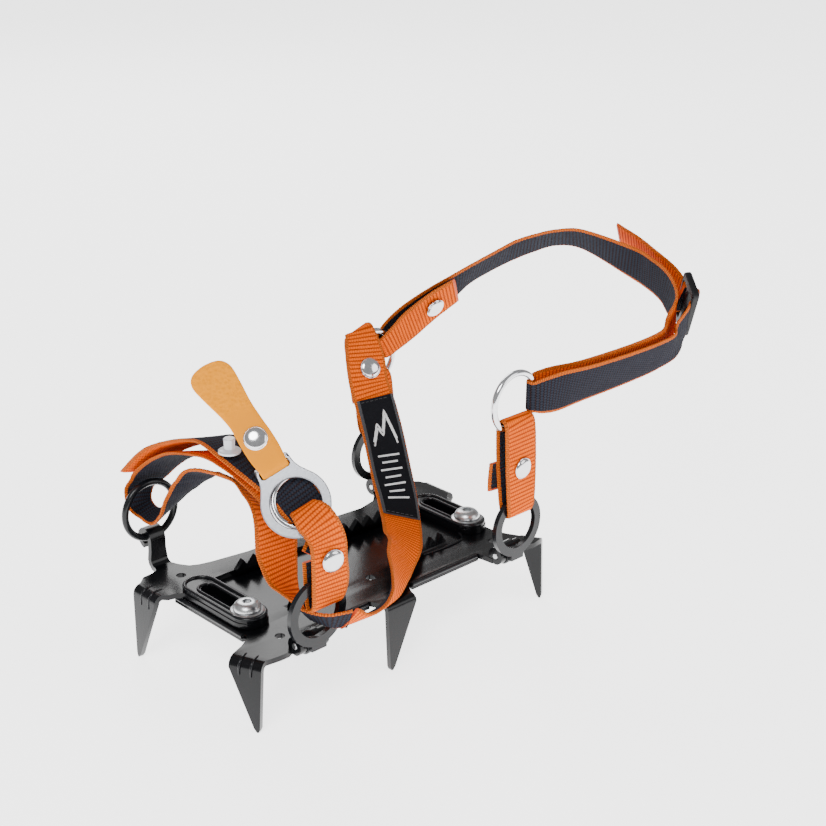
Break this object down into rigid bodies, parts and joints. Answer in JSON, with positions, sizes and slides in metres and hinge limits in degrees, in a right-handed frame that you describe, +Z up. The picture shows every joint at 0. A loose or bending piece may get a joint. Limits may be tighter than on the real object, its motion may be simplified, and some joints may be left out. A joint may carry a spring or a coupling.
{
  "type": "instep crampon",
  "caption": "Strap-on instep crampon: two interlocking black steel plates with downturned points, width-adjusting bolts, hinged rings and orange webbing straps.",
  "frame": {"origin": "centre of the boot-bearing top face of the plates, between the two arms", "axes": "+X from toe to heel, +Y to the far bar, +Z up out of the boot-bearing face"},
  "size_m": [0.2912, 0.1304, 0.1606],
  "materials": {
    "black_steel": "satin",
    "zinc": "bright",
    "chrome": "polished",
    "orange_web": "woven",
    "dark_web": "woven",
    "tab_yellow": "grained",
    "patch": "woven",
    "black_plastic": "satin",
    "grey": "satin"
  },
  "bodies": {
    "near_half": {"near_plate": "black_steel", "front_washer": "zinc", "rear_washer": "zinc", "front_lock_nut": "zinc", "rear_lock_nut": "zinc", "front_near_ring_pin": "zinc", "rear_near_ring_pin": "zinc", "label_strap_near": "orange_web", "instep_strap_near": "orange_web", "instep_strap_over": "orange_web", "instep_strap_tail": "dark_web", "front_near_loop": "orange_web", "rear_near_loop": "orange_web", "heel_strap_near": "dark_web", "heel_strap_back": "dark_web", "heel_strap_tail": "orange_web", "front_near_rivet": "chrome", "rear_near_rivet": "chrome", "tail_stud": "grey", "buckle_plate": "chrome"},
    "far_half": {"far_plate": "black_steel", "rear_far_ring_pin": "zinc", "label_strap_far": "orange_web", "label_patch": "patch", "label_rivet": "chrome", "instep_strap_far": "dark_web", "rear_far_loop": "orange_web", "rear_far_rivet": "chrome", "heel_strap_far": "dark_web", "heel_rivet": "chrome"},
    "front_bolt": {"front_adjust_bolt": "zinc"},
    "rear_bolt": {"rear_adjust_bolt": "zinc"},
    "front_near_d": {"front_near_ring": "black_steel"},
    "rear_near_d": {"rear_near_ring": "black_steel"},
    "rear_far_d": {"rear_far_ring": "black_steel"},
    "front_far_d": {"front_far_ring": "black_steel"},
    "near_ankle_d": {"near_ankle_ring": "chrome"},
    "far_ankle_d": {"far_ankle_ring": "chrome"},
    "instep_d": {"instep_ring": "chrome"},
    "tab": {"pull_tab": "tab_yellow", "tab_rivet": "chrome"},
    "slider": {"strap_slider": "black_plastic"}
  },
  "joints": [
    {"name": "width_adjust", "type": "slide", "parent": "near_half", "child": "far_half", "axis": [0, 1, 0], "range_m": [-0.012, 0], "deforming": ["label_strap_far", "label_strap_near", "instep_strap_near", "instep_strap_far", "instep_strap_over", "instep_strap_tail", "front_near_loop", "rear_near_loop", "rear_far_loop", "heel_strap_far", "heel_strap_back", "heel_strap_near", "heel_strap_tail", "label_patch"]},
    {"name": "front_bolt_turn", "type": "hinge", "parent": "near_half", "child": "front_bolt", "pos_m": [-0.067, -0.012, 0], "axis": [0, 0, 1], "continuous": true},
    {"name": "rear_bolt_turn", "type": "hinge", "parent": "near_half", "child": "rear_bolt", "pos_m": [0.067, -0.012, 0], "axis": [0, 0, 1], "continuous": true},
    {"name": "front_near_ring_hinge", "type": "hinge", "parent": "near_half", "child": "front_near_d", "pos_m": [-0.061, -0.0455, -0.001], "axis": [1, 0, 0], "range_deg": [-40, 60]},
    {"name": "rear_near_ring_hinge", "type": "hinge", "parent": "near_half", "child": "rear_near_d", "pos_m": [0.0595, -0.0455, -0.001], "axis": [1, 0, 0], "range_deg": [-40, 60]},
    {"name": "rear_far_ring_hinge", "type": "hinge", "parent": "far_half", "child": "rear_far_d", "pos_m": [0.0655, 0.046, 0.0018], "axis": [1, 0, 0], "range_deg": [-60, 40]},
    {"name": "front_far_ring_hinge", "type": "hinge", "parent": "far_half", "child": "front_far_d", "pos_m": [-0.0665, 0.0581, 0.0119], "axis": [1, 0, 0], "range_deg": [-35, 35]},
    {"name": "near_ankle_ring_turn", "type": "hinge", "parent": "near_half", "child": "near_ankle_d", "pos_m": [0.057, -0.05, 0.0756], "axis": [0, 1, 0], "continuous": true},
    {"name": "far_ankle_ring_turn", "type": "hinge", "parent": "far_half", "child": "far_ankle_d", "pos_m": [0.064, 0.052, 0.068], "axis": [0, 1, 0], "continuous": true},
    {"name": "instep_ring_turn", "type": "hinge", "parent": "near_half", "child": "instep_d", "pos_m": [-0.05662, -0.03635, 0.05844], "axis": [-0.5499, -0.6199, 0.5599], "continuous": true},
    {"name": "pull_tab_hinge", "type": "hinge", "parent": "near_half", "child": "tab", "pos_m": [-0.06131, -0.02635, 0.07061], "axis": [0.8315, -0.3425, 0.4375], "range_deg": [0, 25]},
    {"name": "slider_travel", "type": "slide", "parent": "near_half", "child": "slider", "axis": [0.3004, -0.8511, -0.4306], "range_m": [-0.008, 0.008]}
  ]
}
